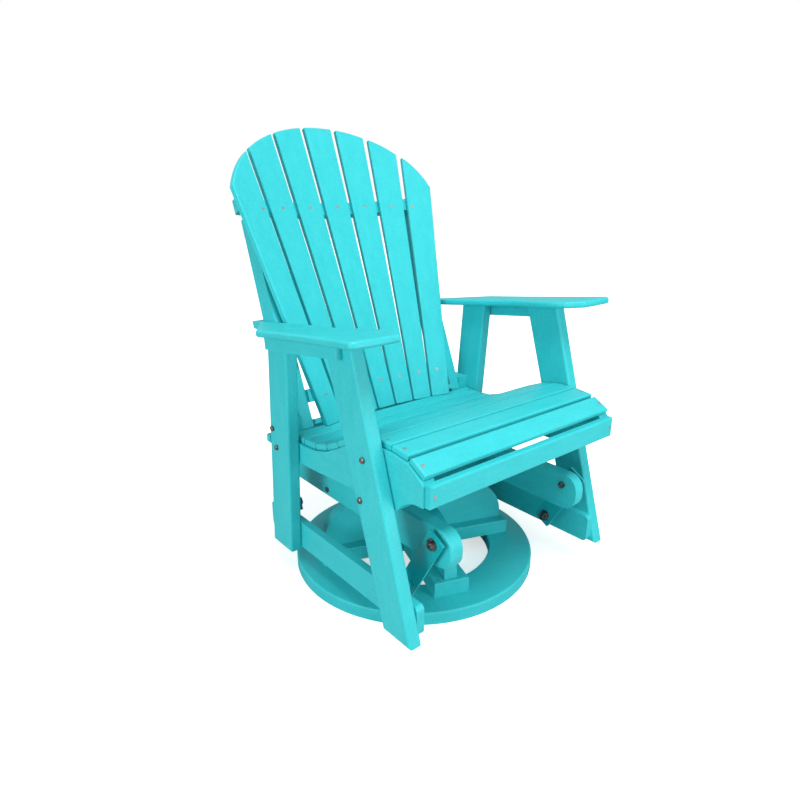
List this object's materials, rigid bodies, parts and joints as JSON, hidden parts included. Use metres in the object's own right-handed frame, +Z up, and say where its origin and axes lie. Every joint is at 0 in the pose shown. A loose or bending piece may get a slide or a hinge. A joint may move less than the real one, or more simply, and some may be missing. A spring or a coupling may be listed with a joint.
{
  "type": "swivel patio chair",
  "caption": "Slatted garden armchair with a fan-shaped back that glides on steel hangers from a platform turning on a flat ring base.",
  "frame": {"origin": "on the floor under the middle of the whole chair; the swivel axis is vertical, 18.5 mm in front of it", "axes": "+Z up, +Y to the rear of the chair, +X to the right seen from the front"},
  "size_m": [0.7784, 0.8081, 1.0981],
  "materials": {
    "poly_lumber": "turquoise board with a faint mottled grain, satin",
    "painted_steel": "turquoise paint, satin",
    "bearing_steel": "zinc plated",
    "bolt_steel": "stainless, dull",
    "bush_steel": "turquoise paint, satin",
    "screw_steel": "stainless, dull"
  },
  "bodies": {
    "base": {"base_screws": "screw_steel", "bearing_balls": "bearing_steel", "bearing_lower_plate": "bearing_steel", "foot_board_long": "poly_lumber", "foot_boards_short": "poly_lumber", "pedestal_rib_long": "poly_lumber", "pedestal_ribs_short": "poly_lumber", "ring_segment_front": "poly_lumber", "ring_segment_left": "poly_lumber", "ring_segment_rear": "poly_lumber", "ring_segment_right": "poly_lumber", "swivel_pin": "bearing_steel"},
    "platform": {"bearing_upper_plate": "bearing_steel", "cross_board_front": "poly_lumber", "cross_board_rear": "poly_lumber", "platform_rail_left": "poly_lumber", "platform_rail_right": "poly_lumber", "platform_screws": "screw_steel", "upper_pivot_bolts": "bolt_steel", "upper_pivot_bushes": "bush_steel"},
    "front_hangers": {"hanger_front_left": "painted_steel", "hanger_front_right": "painted_steel"},
    "rear_hangers": {"hanger_rear_left": "painted_steel", "hanger_rear_right": "painted_steel"},
    "chair": {"arm_apron_left": "poly_lumber", "arm_apron_right": "poly_lumber", "arm_cleats": "poly_lumber", "arm_left": "poly_lumber", "arm_right": "poly_lumber", "back_rail_lower": "poly_lumber", "back_rail_seat": "poly_lumber", "back_rail_upper": "poly_lumber", "back_slat_1": "poly_lumber", "back_slat_2": "poly_lumber", "back_slat_3": "poly_lumber", "back_slat_4": "poly_lumber", "back_slat_5": "poly_lumber", "back_slat_6": "poly_lumber", "back_slat_7": "poly_lumber", "chair_screws": "screw_steel", "front_apron": "poly_lumber", "front_leg_left": "poly_lumber", "front_leg_right": "poly_lumber", "leg_bolts": "bolt_steel", "lower_pivot_bolts": "bolt_steel", "lower_pivot_sleeves": "bush_steel", "rear_cross_rail": "poly_lumber", "rear_leg_left": "poly_lumber", "rear_leg_right": "poly_lumber", "seat_rail_left": "poly_lumber", "seat_rail_right": "poly_lumber", "seat_slat_1": "poly_lumber", "seat_slat_2": "poly_lumber", "seat_slat_3": "poly_lumber", "seat_slats_rear": "poly_lumber", "stretcher_left": "poly_lumber", "stretcher_right": "poly_lumber", "upright_left": "poly_lumber", "upright_right": "poly_lumber"}
  },
  "joints": [
    {"name": "platform_swivel", "type": "hinge", "parent": "base", "child": "platform", "pos_m": [0, -0.01853, 0.20685], "axis": [0, 0, 1], "continuous": true},
    {"name": "front_hanger_swing", "type": "hinge", "parent": "platform", "child": "front_hangers", "pos_m": [0, -0.35053, 0.26785], "axis": [1, 0, 0], "range_deg": [-15, 15]},
    {"name": "chair_tilt", "type": "hinge", "parent": "front_hangers", "child": "chair", "pos_m": [0, -0.27666, 0.1373], "axis": [1, 0, 0], "range_deg": [-19.2, 19.2]},
    {"name": "rear_hanger_swing", "type": "hinge", "parent": "platform", "child": "rear_hangers", "pos_m": [0, 0.26203, 0.27539], "axis": [1, 0, 0], "range_deg": [-14.3, 14.3]}
  ],
  "couplings": [
    {"joint": "chair_tilt", "follows": "front_hanger_swing", "ratio": -1.2692},
    {"joint": "rear_hanger_swing", "follows": "front_hanger_swing", "ratio": 0.94538}
  ]
}
